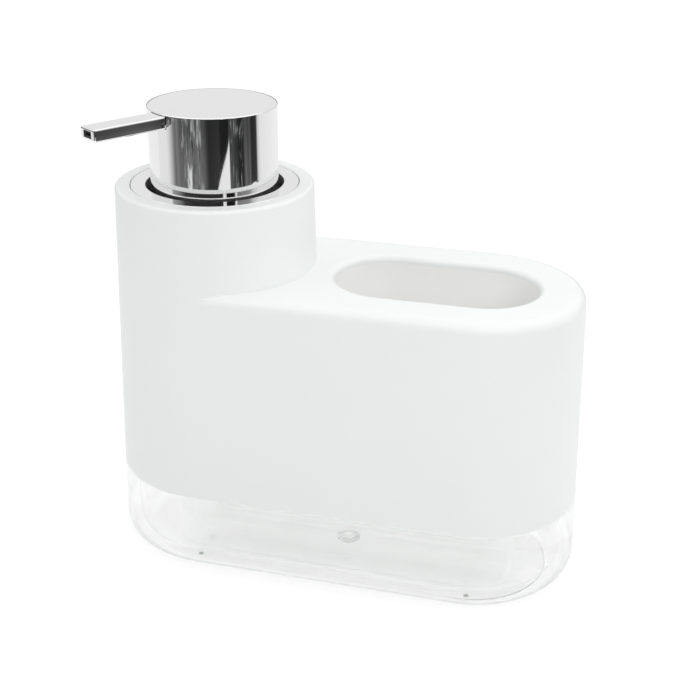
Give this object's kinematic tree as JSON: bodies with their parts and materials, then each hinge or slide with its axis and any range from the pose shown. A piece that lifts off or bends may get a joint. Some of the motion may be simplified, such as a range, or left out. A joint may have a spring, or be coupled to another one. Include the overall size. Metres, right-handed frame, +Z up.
{
  "type": "soap pump caddy",
  "caption": "Oval soap dispenser with a press pump in a round tower, a closed pocket for a sponge or brush in its deck and a clear base that holds the soap.",
  "frame": {"origin": "on the clear base's flat underside, midway between the centres of the two round ends", "axes": "+X from the pump tower to the sponge opening, -Y the front, which the picture shows, +Z up"},
  "size_m": [0.1534, 0.0727, 0.1478],
  "materials": {
    "white_plastic": "satin",
    "clear_plastic": "gloss",
    "chrome": "polished",
    "natural_plastic": "satin",
    "dark_plastic": "satin",
    "seal_rubber": "matte",
    "spring_steel": "satin"
  },
  "bodies": {
    "caddy": {"body_sleeve": "white_plastic", "clear_base": "clear_plastic", "base_seal": "seal_rubber", "sponge_pocket": "white_plastic"},
    "gasket": {"neck_gasket": "seal_rubber"},
    "pump_unit": {"pump_housing": "natural_plastic", "housing_cap": "natural_plastic", "stem_seal": "seal_rubber", "dip_tube": "natural_plastic", "return_spring": "spring_steel"},
    "collar": {"pump_collar": "chrome"},
    "inlet_valve": {"inlet_ball": "spring_steel"},
    "plunger": {"stem": "natural_plastic", "piston": "natural_plastic", "valve_rod": "natural_plastic"},
    "outlet_valve": {"outlet_ball": "spring_steel"},
    "head": {"head_core": "natural_plastic", "head_shell": "chrome", "spout": "chrome", "spout_insert": "dark_plastic"}
  },
  "joints": [
    {"name": "pump_lift_out", "type": "slide", "parent": "caddy", "child": "gasket", "axis": [0, 0, 1], "range_m": [0, 0.12]},
    {"name": "collar_rise", "type": "slide", "parent": "gasket", "child": "pump_unit", "axis": [0, 0, 1], "range_m": [0, 0.0075]},
    {"name": "collar_turn", "type": "hinge", "parent": "pump_unit", "child": "collar", "pos_m": [-0.04265, 0, 0.115], "axis": [0, 0, 1], "range_deg": [0, 900]},
    {"name": "inlet_ball_lift", "type": "slide", "parent": "pump_unit", "child": "inlet_valve", "axis": [0, 0, 1], "range_m": [0, 0.0015]},
    {"name": "head_press", "type": "slide", "parent": "pump_unit", "child": "plunger", "axis": [0, 0, -1], "range_m": [0, 0.011], "stiffness_N_per_m": 900, "springref_m": -0.009, "deforming": ["return_spring"]},
    {"name": "head_turn", "type": "hinge", "parent": "plunger", "child": "head", "pos_m": [-0.04265, 0, 0.145], "axis": [0, 0, 1], "continuous": true},
    {"name": "outlet_ball_lift", "type": "slide", "parent": "plunger", "child": "outlet_valve", "axis": [0, 0, 1], "range_m": [0, 0.001]}
  ],
  "couplings": [
    {"joint": "collar_rise", "follows": "collar_turn", "m_per_rad": 0.00047746}
  ]
}
